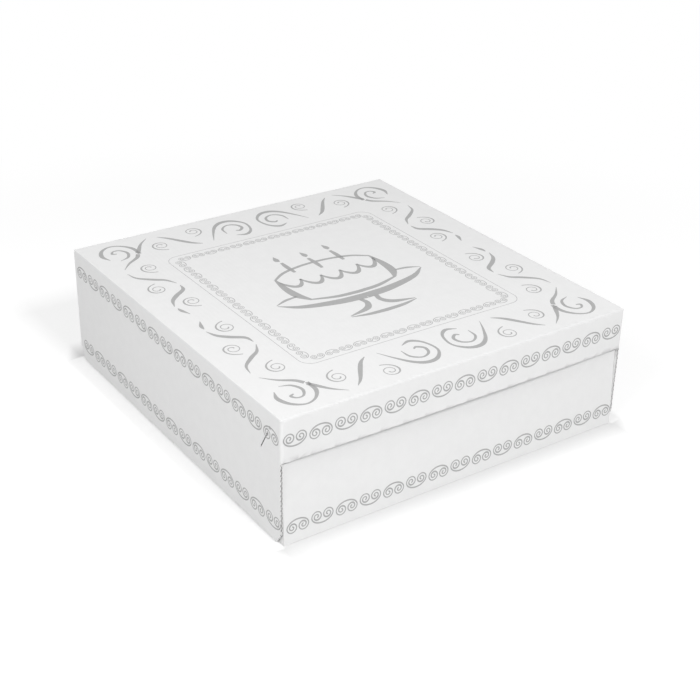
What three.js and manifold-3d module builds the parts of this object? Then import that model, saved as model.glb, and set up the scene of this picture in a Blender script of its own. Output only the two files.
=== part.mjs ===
// Hinged cake box folded from one sheet of white fluted board.
// Millimetres, +Z up, front towards -Y, origin at the middle of the footprint.
// Two solids meet at the lid's fold: a tray, and a lid with side flaps, a short
// front band and folded corner webs.
import * as THREE from 'three';
import { mergeVertices } from 'three/addons/utils/BufferGeometryUtils.js';
import Module from 'manifold-3d';

const wasm = await Module();
wasm.setup();

// Driving dimensions
const boxWidth = 260;            // over the lid's side flaps
const boxDepth = 273;            // from the lid's front corners to the rear wall
const boxHeight = 85;            // base to the top of the lid
const board = 1.6;               // thickness of the fluted board
const foldRadius = 2.2;          // outside radius of a scored fold
const bandHeight = 29;           // lid's front band, from the top of the lid
const bandBow = 3;               // how far the band's free edge springs forward
const flapGap = 1.1;             // between a side flap and the tray's side wall
const bandGap = 0.4;             // between the band's corners and the front wall
const lidGap = 0.5;              // between the tray's walls and the lid panel
const hingeGap = 0.3;            // opening of the mitre at the lid's fold
const flapLift = 0.8;            // side flaps end this far above the base
const flapRearInset = 0.6;       // side flaps end this far inside the rear wall's face
const flapFrontInset = 1;        // raw front end of a side flap, behind the corner's face
const frontChamfer = { along: 4.5, up: 7.5 }; // lower front corner of a side flap
const rearChamfer = { along: 6, up: 9.5 };    // lower rear corner of a side flap
const webPly = 1.45;             // one ply of a corner web, pressed a little thin
const webSlot = 0.3;             // slot beside each ply of a corner web
const webClearance = 1.5;        // between a web and the notch that clears it
const lockHole = { back: 12, down: 10.4, radius: 1.1 };
const lockSlit = { back: 14.2, down: 14.4, endBack: 22, endRise: 1.2, width: 0.9 };
const glueTabLength = 34;        // tabs that close the tray's corners
const glueTabDrop = 3;           // tabs stop this far below the wall's top
const flutePitch = 3.4;          // from one crest of the corrugated medium to the next
const linerPly = 0.25;           // thickness of each face paper
const mediumPly = 0.25;          // thickness of the corrugated medium at a crest
const mediumSpan = 0.36;         // the same, measured along the edge between crests
const fluteLean = 1.06;          // slope of a flute's flanks, along over across
const fluteDepth = 4;            // how deep a raw edge is open
const fluteMargin = 0.8;         // board left solid at the ends of a raw edge
const whiteLiner = 0xf1f1f1;
const boardRoughness = 0.62;

// Planes worked out from the driving dimensions
const halfWidth = boxWidth / 2;
const rearFace = (boxDepth + bandBow) / 2;
const frontFace = rearFace - boxDepth;
const lidUnderside = boxHeight - board;
const bandEdge = boxHeight - bandHeight;
const bandInside = frontFace + board;
const flapInside = halfWidth - board;
const webDepth = bandHeight - board;
const webInside = flapInside - 2 * (webPly + webSlot);
const trayHalfWidth = flapInside - flapGap;
const trayFront = bandInside + bandGap;
const trayTop = lidUnderside - lidGap;
const past = 12;                 // how far a cutter reaches beyond what it cuts
const roundSteps = 3;            // facets in half of a fold's rounding
const bandSteps = { across: 16, down: 12 }; // facets over the band's spring

// Solids and meshes

// Corners are rounded to a tenth of a micrometre, so that flush faces meet exactly
function toSolid(geometry) {
  const bare = geometry.clone();
  bare.deleteAttribute('normal');
  bare.deleteAttribute('uv');
  const corners = bare.attributes.position.array;
  corners.forEach((value, i) => {
    corners[i] = Math.round(value * 1e4) / 1e4;
  });
  const merged = mergeVertices(bare, 1e-5);
  return new wasm.Manifold(new wasm.Mesh({
    numProp: 3,
    vertProperties: new Float32Array(merged.attributes.position.array),
    triVerts: new Uint32Array(merged.index.array),
  }));
}

function toMesh(solid, name, material) {
  const mesh = solid.getMesh();
  const geometry = new THREE.BufferGeometry();
  geometry.setAttribute('position', new THREE.BufferAttribute(mesh.vertProperties, 3));
  geometry.setIndex(new THREE.BufferAttribute(mesh.triVerts, 1));
  geometry.computeVertexNormals();
  const node = new THREE.Mesh(geometry, material);
  node.name = name;
  return node;
}

// Outline in the plane of two axes, pushed out along the third
const planeBasis = {
  XY: [[1, 0, 0], [0, 1, 0], [0, 0, 1]],
  XZ: [[1, 0, 0], [0, 0, 1], [0, -1, 0]],
  YZ: [[0, 1, 0], [0, 0, 1], [1, 0, 0]],
};

function prism(outline, plane, from, to) {
  const shape = outline instanceof THREE.Shape
    ? outline
    : new THREE.Shape(outline.map(([u, v]) => new THREE.Vector2(u, v)));
  const geometry = new THREE.ExtrudeGeometry(shape, {
    depth: to - from,
    bevelEnabled: false,
    curveSegments: 6,
  });
  geometry.translate(0, 0, plane === 'XZ' ? -to : from);
  const axes = planeBasis[plane].map((axis) => new THREE.Vector3(...axis));
  geometry.applyMatrix4(new THREE.Matrix4().makeBasis(...axes));
  return toSolid(geometry);
}

function block(low, high) {
  const size = high.map((value, axis) => value - low[axis]);
  const geometry = new THREE.BoxGeometry(...size);
  geometry.translate(...low.map((value, axis) => value + size[axis] / 2));
  return toSolid(geometry);
}

function bothSides(solid) {
  return solid.add(solid.mirror([1, 0, 0]));
}

// Stations across a block whose edges are rounded: a few through each rounding,
// and an even spread over the flat between
function stations(half, radius, flatSteps) {
  const flat = half - radius;
  const rounding = [];
  for (let i = 1; radius > 0 && i <= roundSteps; i += 1) {
    rounding.push(flat + radius * Math.tan((Math.PI / 4) * (i / roundSteps)));
  }
  const middle = [];
  for (let i = 0; i <= flatSteps; i += 1) {
    middle.push(-flat + (2 * flat * i) / flatSteps);
  }
  return [...rounding.map((value) => -value).reverse(), ...middle, ...rounding];
}

// The band springs forward as a parabola across the width, in step with the drop
function springForward(x, z) {
  const across = Math.max(0, 1 - (x / (halfWidth - foldRadius)) ** 2);
  const drop = Math.max(0, (boxHeight - foldRadius - z) / (bandHeight - foldRadius));
  return bandBow * across * drop;
}

// Block with its edges rounded to a radius, whose front follows the band's spring
function sprungBlock(low, high, radius) {
  const half = high.map((value, axis) => (value - low[axis]) / 2);
  const flatSteps = [bandSteps.across, 1, bandSteps.down];
  const steps = flatSteps.map((flat, axis) => stations(half[axis], radius, flat));
  const counts = steps.map((list) => list.length - 1);
  const geometry = new THREE.BoxGeometry(2, 2, 2, ...counts);
  const position = geometry.attributes.position;
  const reach = new THREE.Vector3(...half).subScalar(radius);
  const point = new THREE.Vector3();
  const core = new THREE.Vector3();
  for (let i = 0; i < position.count; i += 1) {
    point.fromBufferAttribute(position, i);
    point.set(...steps.map((list, axis) => {
      const share = (point.getComponent(axis) + 1) / 2;
      return list[Math.round(share * counts[axis])];
    }));
    core.copy(point).clamp(reach.clone().negate(), reach);
    if (radius > 0) point.sub(core).setLength(radius).add(core);
    point.set(...low.map((value, axis) => value + half[axis] + point.getComponent(axis)));
    if (point.y < 0) point.y -= springForward(point.x, point.z);
    position.setXYZ(i, point.x, point.y, point.z);
  }
  return toSolid(geometry);
}

// Flutes open along a raw edge: trapezoids between the two liners, staggered by half
// a pitch, one row to each side of the corrugated medium. Each is an outline of
// [along, across] from the middle of the board's thickness.
function fluteMouths(from, to) {
  const reach = board / 2 - linerPly;
  const middle = flutePitch / 4 - mediumSpan / 2;
  const base = middle + fluteLean * reach;
  const tip = middle - fluteLean * (reach - mediumPly);
  const step = flutePitch / 2;
  const room = to - from - 2 * (base + fluteMargin);
  const count = Math.floor(room / step) + 1;
  const first = (from + to - (count - 1) * step) / 2;
  return Array.from({ length: count }, (_, i) => {
    const centre = first + i * step;
    const side = i % 2 === 0 ? 1 : -1;
    return [
      [centre - base, side * reach],
      [centre + base, side * reach],
      [centre + tip, side * (mediumPly - reach)],
      [centre - tip, side * (mediumPly - reach)],
    ];
  });
}

// The lid's fold is a mitre at 45 degrees through the board's corner, and the gap
// is split between the two end faces. Shift is one face's distance from the mitre
// along Y, and turn is the angle that it takes off the fold's rounding.
const mitreShift = (hingeGap / 2) * Math.SQRT2;
const mitreTurn = Math.asin(mitreShift / (foldRadius * Math.SQRT2));

// Tray

function buildTray() {
  const across = new THREE.Shape();
  const top = boxHeight + past;
  across.moveTo(-trayHalfWidth, top);
  across.lineTo(-trayHalfWidth, foldRadius);
  across.absarc(-trayHalfWidth + foldRadius, foldRadius, foldRadius, Math.PI, 1.5 * Math.PI, false);
  across.absarc(trayHalfWidth - foldRadius, foldRadius, foldRadius, 1.5 * Math.PI, 2 * Math.PI, false);
  across.lineTo(trayHalfWidth, top);

  const along = new THREE.Shape();
  const rearInside = rearFace - board;
  along.moveTo(trayFront, trayTop);
  along.lineTo(trayFront, foldRadius);
  along.absarc(trayFront + foldRadius, foldRadius, foldRadius, Math.PI, 1.5 * Math.PI, false);
  along.absarc(rearFace - foldRadius, foldRadius, foldRadius, 1.5 * Math.PI, 2 * Math.PI, false);
  along.absarc(
    rearFace - foldRadius, boxHeight - foldRadius, foldRadius,
    0, Math.PI / 4 - mitreTurn, false,
  );
  along.lineTo(rearInside, boxHeight - board - mitreShift);
  along.lineTo(rearInside, trayTop);

  const hollow = block(
    [-trayHalfWidth + board, trayFront + board, board],
    [trayHalfWidth - board, rearInside, top],
  );
  return prism(along, 'YZ', -trayHalfWidth, trayHalfWidth)
    .intersect(prism(across, 'XZ', trayFront - past, rearFace + past))
    .subtract(hollow)
    .add(glueTabs())
    .subtract(cornerRoundings())
    .subtract(webNotches())
    .subtract(frontWallFlutes());
}

// Tabs of the side walls, folded in and glued behind the front and rear walls
function glueTabs() {
  const inner = trayHalfWidth - glueTabLength;
  const outer = trayHalfWidth - board / 2;
  const top = trayTop - glueTabDrop;
  const front = block(
    [inner, trayFront + board / 2, board / 2],
    [outer, trayFront + 2 * board, top],
  );
  const rear = block(
    [inner, rearFace - 2 * board, board / 2],
    [outer, rearFace - board / 2, top],
  );
  return bothSides(front.add(rear));
}

// Upright folds between the side walls and their tabs, which leave a groove beside
// the raw ends of the front and rear walls
function cornerRoundings() {
  const front = trayFront + board;
  const rear = rearFace - board;
  const centre = trayHalfWidth - foldRadius;
  const frontGroove = new THREE.Shape();
  frontGroove.moveTo(centre, front);
  frontGroove.lineTo(trayHalfWidth + past, front);
  frontGroove.lineTo(trayHalfWidth + past, front + foldRadius);
  frontGroove.absarc(centre, front + foldRadius, foldRadius, 0, -Math.PI / 2, true);
  const rearGroove = new THREE.Shape();
  rearGroove.moveTo(centre, rear);
  rearGroove.lineTo(trayHalfWidth + past, rear);
  rearGroove.lineTo(trayHalfWidth + past, rear - foldRadius);
  rearGroove.absarc(centre, rear - foldRadius, foldRadius, 0, Math.PI / 2, false);
  const top = boxHeight + past;
  return bothSides(
    prism(frontGroove, 'XY', foldRadius, top).add(prism(rearGroove, 'XY', foldRadius, top)),
  );
}

// Room for the lid's corner webs: a step at each end of the front wall and a
// slope on each side wall
function webNotches() {
  const low = bandEdge - webClearance;
  const high = trayTop + past;
  const slopeFoot = bandInside + webDepth + webClearance * Math.SQRT2;
  return bothSides(prism([
    [trayFront - past, low],
    [slopeFoot, low],
    [slopeFoot - (high - low), high],
    [trayFront - past, high],
  ], 'YZ', webInside - webClearance, halfWidth));
}

// Flutes stand upright in the front wall, and open at its top edge
function frontWallFlutes() {
  const middle = trayFront + board / 2;
  const end = webInside - webClearance;
  return wasm.Manifold.union(fluteMouths(-end, end).map((mouth) => prism(
    mouth.map(([along, across]) => [along, middle + across]),
    'XY', trayTop - fluteDepth, trayTop + past,
  )));
}

// Lid

function buildLid() {
  const outside = sprungBlock(
    [-halfWidth, frontFace, -past],
    [halfWidth, rearFace + past, boxHeight],
    foldRadius,
  );
  const inside = sprungBlock(
    [-flapInside, bandInside, -2 * past],
    [flapInside, rearFace + 2 * past, lidUnderside],
    0,
  );
  return outside.subtract(inside)
    .subtract(frontOpening())
    .subtract(lidRear())
    .add(flapFronts())
    .add(cornerWebs())
    .subtract(webSlots())
    .subtract(lockCuts())
    .subtract(flapEdges())
    .subtract(flapFlutes());
}

// The front is open below the band
function frontOpening() {
  return block(
    [-boxWidth, frontFace - 2 * past, -2 * past],
    [boxWidth, frontFace + foldRadius, bandEdge],
  );
}

// Raw front ends of the side flaps, square across the board
function flapFronts() {
  return bothSides(block(
    [flapInside, frontFace + flapFrontInset, 0],
    [halfWidth, frontFace + 2 * foldRadius, bandEdge],
  ));
}

// Behind the lid's half of the fold, and behind the raw rear ends of the flaps
function lidRear() {
  const behind = new THREE.Shape();
  const farRear = rearFace + 4 * past;
  const low = trayTop;
  behind.moveTo(farRear, boxHeight + past);
  behind.lineTo(rearFace - foldRadius, boxHeight + past);
  behind.absarc(
    rearFace - foldRadius, boxHeight - foldRadius, foldRadius,
    Math.PI / 2, Math.PI / 4 + mitreTurn, true,
  );
  behind.lineTo(rearFace + low - boxHeight - mitreShift, low);
  behind.lineTo(farRear, low);
  return prism(behind, 'YZ', -boxWidth, boxWidth).add(block(
    [-boxWidth, rearFace - flapRearInset, -2 * past],
    [boxWidth, farRear, low],
  ));
}

// Corner web: the square of board between band and flap, folded on its diagonal
// into a triangle of two plies that lies against the inside of the flap
function cornerWebs() {
  return bothSides(prism([
    [bandInside - board / 2, bandEdge],
    [bandInside + webDepth, bandEdge],
    [bandInside, lidUnderside],
    [bandInside - board / 2, lidUnderside],
  ], 'YZ', webInside, flapInside + board / 2));
}

// Slots that part the plies: the outer one is joined to the flap along the front
// corner, and the two plies are joined along the diagonal
function webSlots() {
  const frontFold = bandInside + webPly;
  const low = bandEdge - past;
  const openTop = lidUnderside - webPly / 2;
  const besideFlap = prism([
    [frontFold, low],
    [frontFold + openTop - low, low],
    [frontFold, openTop],
  ], 'YZ', flapInside - webSlot, flapInside);
  const turn = webPly * Math.SQRT2;
  const outer = flapInside - webSlot - webPly;
  const between = prism([
    [frontFold, low],
    [bandInside + webDepth - turn + past, low],
    [frontFold, lidUnderside - turn - webPly],
  ], 'YZ', outer - webSlot, outer);
  return bothSides(besideFlap.add(between));
}

// Lock slit and its round end, through the flap and the web's outer ply
function lockCuts() {
  const start = new THREE.Vector2(frontFace + lockSlit.back, boxHeight - lockSlit.down);
  const end = new THREE.Vector2(frontFace + lockSlit.endBack, bandEdge + lockSlit.endRise);
  const along = end.clone().sub(start).setLength(lockSlit.width / 2);
  const across = new THREE.Vector2(-along.y, along.x);
  const slit = [
    start.clone().add(across),
    start.clone().sub(across),
    end.clone().sub(across),
    end.clone().add(across),
  ].map((corner) => corner.toArray());
  const hole = new THREE.Shape();
  const holeBack = frontFace + lockHole.back;
  const holeHeight = boxHeight - lockHole.down;
  hole.absarc(holeBack, holeHeight, lockHole.radius, 0, 2 * Math.PI);
  const depth = flapInside - webSlot - webPly - webSlot / 2;
  const cut = prism(slit, 'YZ', depth, halfWidth + past);
  return bothSides(cut.add(prism(hole, 'YZ', depth, halfWidth + past)));
}

// Lower edges of the side flaps, with a slope at each lower corner
function flapEdges() {
  const front = flapCorner(frontFace + flapFrontInset, 1, frontChamfer);
  const rear = flapCorner(rearFace - flapRearInset, -1, rearChamfer);
  const base = block([-boxWidth, -boxDepth, -2 * past], [boxWidth, boxDepth, flapLift]);
  return base.add(front).add(rear);
}

// Triangle on the slope's line, half as long again at both ends
function flapCorner(end, inward, { along, up }) {
  const outerY = end - inward * along * 0.5;
  const lowZ = flapLift - up * 0.5;
  return prism([
    [outerY, lowZ],
    [end + inward * along * 1.5, lowZ],
    [outerY, flapLift + up * 1.5],
  ], 'YZ', -boxWidth, boxWidth);
}

// Flutes run from front to rear in the side flaps, and open at both raw ends
function flapFlutes() {
  const middle = halfWidth - board / 2;
  const upright = (mouth) => mouth.map(([along, across]) => [middle + across, along]);
  const front = frontFace + flapFrontInset;
  const rear = rearFace - flapRearInset;
  const frontMouths = fluteMouths(flapLift + frontChamfer.up, bandEdge)
    .map((mouth) => prism(upright(mouth), 'XZ', front - past, front + fluteDepth));
  const rearMouths = fluteMouths(flapLift + rearChamfer.up, trayTop)
    .map((mouth) => prism(upright(mouth), 'XZ', rear - fluteDepth, rear + past));
  return bothSides(wasm.Manifold.union([...frontMouths, ...rearMouths]));
}

function boardMaterial(name) {
  return new THREE.MeshStandardMaterial({
    name,
    color: whiteLiner,
    roughness: boardRoughness,
    metalness: 0,
  });
}

const cakeBox = new THREE.Group();
cakeBox.name = 'cake_box';
cakeBox.add(toMesh(buildTray(), 'tray', boardMaterial('tray_board')));
cakeBox.add(toMesh(buildLid(), 'lid', boardMaterial('lid_board')));

export default cakeBox;
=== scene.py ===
import math

import bmesh
import bpy
import numpy as np
from mathutils import Matrix, Vector


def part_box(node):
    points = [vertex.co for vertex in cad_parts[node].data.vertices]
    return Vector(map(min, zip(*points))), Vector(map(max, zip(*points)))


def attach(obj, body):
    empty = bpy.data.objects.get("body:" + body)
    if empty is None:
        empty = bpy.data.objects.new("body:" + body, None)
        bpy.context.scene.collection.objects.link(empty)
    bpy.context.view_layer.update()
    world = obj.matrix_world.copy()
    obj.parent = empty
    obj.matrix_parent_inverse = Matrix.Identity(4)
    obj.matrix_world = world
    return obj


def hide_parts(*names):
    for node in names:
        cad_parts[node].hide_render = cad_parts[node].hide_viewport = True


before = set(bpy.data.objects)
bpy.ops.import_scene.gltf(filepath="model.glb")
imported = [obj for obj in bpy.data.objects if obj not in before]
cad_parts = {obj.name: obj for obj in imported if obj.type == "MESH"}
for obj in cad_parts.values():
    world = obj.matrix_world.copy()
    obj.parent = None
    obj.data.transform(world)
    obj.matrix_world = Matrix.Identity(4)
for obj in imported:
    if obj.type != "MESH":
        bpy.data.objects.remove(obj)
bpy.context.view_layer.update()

# Planes that the print and the camera are placed by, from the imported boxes
lidLow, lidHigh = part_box("lid")
trayLow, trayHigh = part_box("tray")
boxTop = lidHigh.z
halfWidth = lidHigh.x
rearFace = trayHigh.y

# Fluted board, sizes in metres
boardSet = {
    "thickness": 0.0016,
    "foldRadius": 0.0022,
    "bandHeight": 0.029,
    "bandBow": 0.003,          # spring of the band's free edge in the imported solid
    "springEnd": 1.0001,       # of the drop to that edge, past which nothing springs
    "bandRest": 0.0012,        # spring of that edge as the band rests
    "bandRaise": 0.0009,       # how far the band's edge rests above its packed height
    "raiseStart": 0.005,       # drop below the lid where the raising starts
    "raiseSpan": 0.024,
    "raiseFade": 0.008,        # below the edge
    "bandDepth": 0.0023,       # behind the front face, board as far as this is the band
    "footLean": 0.0019,        # the front wall's foot stands forward
    "footHeight": 0.045,
    "footDepth": 0.014,        # behind the front face, as far as the lean reaches
    "footFade": 0.009,
    "crispRadius": 0.0008,     # outside radius that the upper folds are pressed to
    "footRadius": 0.0003,      # and the folds round the base
    "inset": 0.00006,          # the board stands back by this, so that the ink stays in the box
    "flutePitch": 0.0034,
    "sliceStep": 0.008,        # spacing of the cuts that let the panels bend
    "foldSlices": 6,           # cuts to each flute along the front and rear folds
    "foldMargin": 0.0022,      # past a fold's rounding, as far as those cuts reach
    "foldTurns": 7,            # radial cuts round each fold
    "wallLean": 0.00095,       # the tray's side walls lean out on to the flaps
    "leanStart": 0.119,        # from the middle, where that lean starts
    "leanSpan": 0.006,
    "wallBack": (0.0006, 0.0011),   # the front wall leans back at its ends, and its middle by this more
    "backStart": 0.014,        # height where the leaning back starts
    "backSpan": 0.042,
    "weld": 1e-7,              # points closer than this are one
    "touch": 1e-6,             # points this near a fold's rounding count as in it
    "tiny": 1e-9,              # least length to divide by
    "skin": 0.00003,           # depth of face that is still the liner
    "smoothAngle": 35,
}
frontFace = lidLow.y + boardSet["bandBow"]
centreY = (rearFace + frontFace) / 2


# Finish of the board
finishSet = {
    "linerColor": (0.80, 0.80, 0.80),
    "linerRoughness": 0.52,
    "linerSheen": 0.35,        # specular level of the clay coating
    "mottle": 0.012,           # share by which the liner's grey wanders
    "mottleScale": 160,
    "mottleNoise": (0.3, 0.7), # values between which a noise mostly lies
    "fibreScale": 900,
    "fibreShare": 0.35,        # share of the fibres in the liner's bump
    "washboard": 0.00002,      # height of the flutes' print-through
    "washShare": 0.5,          # and its share in the bump
    "facing": 0.7,             # part of a normal past which a face looks that way
    "foldPaintedShade": 0.12,        # share of painted shade that darkens a pressed fold's colour below its panels'
    "cutColor": (0.78, 0.78, 0.775),
    "cutRoughness": 0.85,
    "cutSheen": 0.2,
    "cutMottle": 0.06,
    "cutBump": 0.0001,
    "fluteLevel": 0.3,         # of the wave, where a flute hollow's painted shade starts
    "fluteSlope": 6.0,
    "fluteSpan": 0.85,         # of the board's depth that the marks fill
    # share of painted shade in the middle of a flute hollow's mark
    "flutePaintedShade": 0.85,
}


def newMaterial(name):
    material = bpy.data.materials.new(name)
    material.use_nodes = True
    tree = material.node_tree
    tree.nodes.clear()
    output = tree.nodes.new("ShaderNodeOutputMaterial")
    shader = tree.nodes.new("ShaderNodeBsdfPrincipled")
    tree.links.new(shader.outputs["BSDF"], output.inputs["Surface"])
    return material, tree, shader


def mathNode(tree, operation, *values):
    node = tree.nodes.new("ShaderNodeMath")
    node.operation = operation
    for slot, value in zip(node.inputs, values):
        if isinstance(value, (int, float)):
            slot.default_value = value
        else:
            tree.links.new(value, slot)
    return node.outputs[0]


def axisParts(tree, vector):
    node = tree.nodes.new("ShaderNodeSeparateXYZ")
    tree.links.new(vector, node.inputs[0])
    return node.outputs


# Level between two, in step with a value that goes from one end to another
def rampNode(tree, value, ends, levels=(0, 1), kind="LINEAR"):
    ramp = tree.nodes.new("ShaderNodeMapRange")
    ramp.interpolation_type = kind
    ramp.inputs["From Min"].default_value, ramp.inputs["From Max"].default_value = ends
    ramp.inputs["To Min"].default_value, ramp.inputs["To Max"].default_value = levels
    tree.links.new(value, ramp.inputs["Value"])
    return ramp.outputs["Result"]


def noiseNode(tree, vector, scale, detail, roughness=0.5):
    node = tree.nodes.new("ShaderNodeTexNoise")
    node.inputs["Scale"].default_value = scale
    node.inputs["Detail"].default_value = detail
    node.inputs["Roughness"].default_value = roughness
    tree.links.new(vector, node.inputs["Vector"])
    return node.outputs["Fac"]


# The flutes print through the liner as a sine of the distance across them:
# along X on the level and upright cross panels, along Z on the side panels
def washboard(tree, coords, normal):
    place = axisParts(tree, coords)
    turn = 2 * math.pi / boardSet["flutePitch"]
    acrossX = mathNode(tree, "SINE", mathNode(tree, "MULTIPLY", place["X"], turn))
    acrossZ = mathNode(tree, "SINE", mathNode(tree, "MULTIPLY", place["Z"], turn))
    side = mathNode(tree, "ABSOLUTE", axisParts(tree, normal)["X"])
    side = mathNode(tree, "GREATER_THAN", side, finishSet["facing"])
    rest = mathNode(tree, "SUBTRACT", 1.0, side)
    return mathNode(tree, "ADD", mathNode(tree, "MULTIPLY", acrossX, rest),
                    mathNode(tree, "MULTIPLY", acrossZ, side))


def surfaceBump(tree, shader, height, distance):
    bump = tree.nodes.new("ShaderNodeBump")
    bump.inputs["Strength"].default_value = 1.0
    bump.inputs["Distance"].default_value = distance
    tree.links.new(height, bump.inputs["Height"])
    tree.links.new(bump.outputs["Normal"], shader.inputs["Normal"])


# Painted shade on the folds: 4 n^2 (1 - n^2) of the normal's upright part n is 1 half way round a level fold,
# where the colour is darkened most
def paintedFoldShade(tree, normal):
    upright = axisParts(tree, normal)["Z"]
    square = mathNode(tree, "MULTIPLY", upright, upright)
    bent = mathNode(tree, "MULTIPLY", square, mathNode(tree, "SUBTRACT", 1.0, square))
    return mathNode(tree, "SUBTRACT", 1.0, mathNode(tree, "MULTIPLY", bent, 4 * finishSet["foldPaintedShade"]))


# Painted shade of the flute hollows seen on the flaps' front ends: the sine of the height times the depth in
# the board is dark where it passes a level, so that the marks alternate between the liners
def paintedFluteShade(tree, coords, normal):
    place = axisParts(tree, coords)
    half = boardSet["thickness"] / 2
    depth = mathNode(tree, "SUBTRACT", mathNode(tree, "ABSOLUTE", place["X"]), halfWidth - half)
    depth = mathNode(tree, "DIVIDE", depth, half)
    turn = mathNode(tree, "MULTIPLY", place["Z"], 2 * math.pi / boardSet["flutePitch"])
    wave = mathNode(tree, "MULTIPLY", mathNode(tree, "SINE", turn), depth)
    hollow = mathNode(tree, "SUBTRACT", wave, finishSet["fluteLevel"])
    hollow = mathNode(tree, "MULTIPLY", hollow, finishSet["fluteSlope"])
    hollow = mathNode(tree, "MINIMUM", mathNode(tree, "MAXIMUM", hollow, 0.0), 1.0)
    core = mathNode(tree, "LESS_THAN", mathNode(tree, "ABSOLUTE", depth), finishSet["fluteSpan"])
    front = mathNode(tree, "ABSOLUTE", axisParts(tree, normal)["Y"])
    front = mathNode(tree, "GREATER_THAN", front, finishSet["facing"])
    marks = mathNode(tree, "MULTIPLY", mathNode(tree, "MULTIPLY", hollow, core), front)
    return mathNode(tree, "SUBTRACT", 1.0, mathNode(tree, "MULTIPLY", marks, finishSet["flutePaintedShade"]))


# Colour wanders about its middle by a share, in step with a noise, times a painted shade
def mottledColor(tree, shader, noise, color, share, shade=1.0):
    level = rampNode(tree, noise, finishSet["mottleNoise"], (1 - share, 1 + share))
    tint = tree.nodes.new("ShaderNodeVectorMath")
    tint.operation = "SCALE"
    tint.inputs[0].default_value = color
    tree.links.new(mathNode(tree, "MULTIPLY", level, shade), tint.inputs["Scale"])
    tree.links.new(tint.outputs["Vector"], shader.inputs["Base Color"])


def linerMaterial():
    material, tree, shader = newMaterial("coated_liner")
    coords = tree.nodes.new("ShaderNodeTexCoord")
    mottle = noiseNode(tree, coords.outputs["Object"], finishSet["mottleScale"], detail=4.0)
    fibre = noiseNode(tree, coords.outputs["Object"], finishSet["fibreScale"], detail=3.0, roughness=0.6)
    # painted shade that darkens the colour round the folds
    paintedFold = paintedFoldShade(tree, coords.outputs["Normal"])
    mottledColor(tree, shader, mottle, finishSet["linerColor"], finishSet["mottle"], paintedFold)
    shader.inputs["Roughness"].default_value = finishSet["linerRoughness"]
    shader.inputs["Specular IOR Level"].default_value = finishSet["linerSheen"]
    waves = washboard(tree, coords.outputs["Object"], coords.outputs["Normal"])
    height = mathNode(tree, "ADD", mathNode(tree, "MULTIPLY", waves, finishSet["washShare"]),
                      mathNode(tree, "MULTIPLY", fibre, finishSet["fibreShare"]))
    surfaceBump(tree, shader, height, finishSet["washboard"])
    return material


def cutMaterial():
    material, tree, shader = newMaterial("cut_board")
    coords = tree.nodes.new("ShaderNodeTexCoord")
    fibre = noiseNode(tree, coords.outputs["Object"], finishSet["fibreScale"], detail=4.0, roughness=0.7)
    # painted shade of the flute hollows on the cut ends
    flutes = paintedFluteShade(tree, coords.outputs["Object"], coords.outputs["Normal"])
    mottledColor(tree, shader, fibre, finishSet["cutColor"], finishSet["cutMottle"], flutes)
    shader.inputs["Roughness"].default_value = finishSet["cutRoughness"]
    shader.inputs["Specular IOR Level"].default_value = finishSet["cutSheen"]
    surfaceBump(tree, shader, fibre, finishSet["cutBump"])
    return material


# The band springs forward as a parabola across its width, in step with the drop,
# and nothing below the band's edge does
def bandSpring(x, z, bow):
    fold = boardSet["foldRadius"]
    across = np.maximum(0, 1 - (x / (halfWidth - fold)) ** 2)
    drop = np.maximum(0, (boxTop - fold - z) / (boardSet["bandHeight"] - fold))
    return bow * across * drop * (drop < boardSet["springEnd"])


# The band's edge is raised, by a share that grows down the band and fades below it
def raiseBand(points):
    z = points[:, 2]
    low = boxTop - boardSet["bandHeight"]
    fade = boardSet["raiseFade"]
    share = np.clip((boxTop - boardSet["raiseStart"] - z) / boardSet["raiseSpan"], 0, 1)
    share = share * np.clip((z - low + fade) / fade, 0, 1)
    points[:, 2] += boardSet["bandRaise"] * share * (points[:, 1] < frontFace + boardSet["bandDepth"])
    return points


# The front wall leans: its foot stands forward in step with the drop below a height,
# with the base's front edge, and above that height it goes back, as a parabola across
def standFoot(points):
    x, z = points[..., 0], points[..., 2]
    drop = np.clip(1 - z / boardSet["footHeight"], 0, 1)
    near = np.clip((frontFace + boardSet["footDepth"] - points[..., 1]) / boardSet["footFade"], 0, 1)
    share = np.clip((z - boardSet["backStart"]) / boardSet["backSpan"], 0, 1)
    ends, middle = boardSet["wallBack"]
    back = (ends + middle * np.clip(1 - (x / halfWidth) ** 2, 0, 1)) * share ** 2 * (3 - 2 * share)
    moved = points.copy()
    moved[..., 1] += (back - boardSet["footLean"] * drop) * near
    return moved


# How the board has settled, in metres, and its waves in radians
settleSet = {
    "foldWave": 0.00030,       # how far a fold sinks between two flutes
    "foldReach": 0.0019,       # how far from the fold's corner the wave is felt
    "foldBeat": (131, 0.7),    # slow change along a fold: to the metre, and its start
    "beatShare": 0.25,         # of the sinking that the beat adds or takes
    "foldSlant": 0.7,          # parts of the sinking that go inwards and down
    "dimple": 0.00045,         # pressed spots beside the lid's front corners
    "dimpleReach": 0.0026,
    "dimplePlace": (0.0045, 0.0042),    # back from the front, down from the top
    "panelWave": 0.00022,      # slow waves of the panels, inwards only
    "frontShare": 0.7,         # of that on the front
    "skinReach": 0.006,        # how deep under an outside face its waves are felt
    "edgeFade": 6,             # how sharply the waves fade at a panel's edges
    "topWaves": (9.1, 1.9, 7.3, -0.8),  # across and its start, along and its start
    "sideWaves": (14, 2.2, 3),          # along, up, and apart from side to side
    "frontWaves": (12, 2.6, 0.4),       # across, up, and the start
}


# Share of a face's waves that is felt at a distance behind it
def underFace(distance):
    return np.exp(-(distance / settleSet["skinReach"]) ** 2)


# Waves fade towards both edges of a panel as 1 - (2u)^n, for u from -1/2 to 1/2
def edgeShare(u):
    return np.clip(1 - (2 * u) ** settleSet["edgeFade"], 0, 1)


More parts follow.
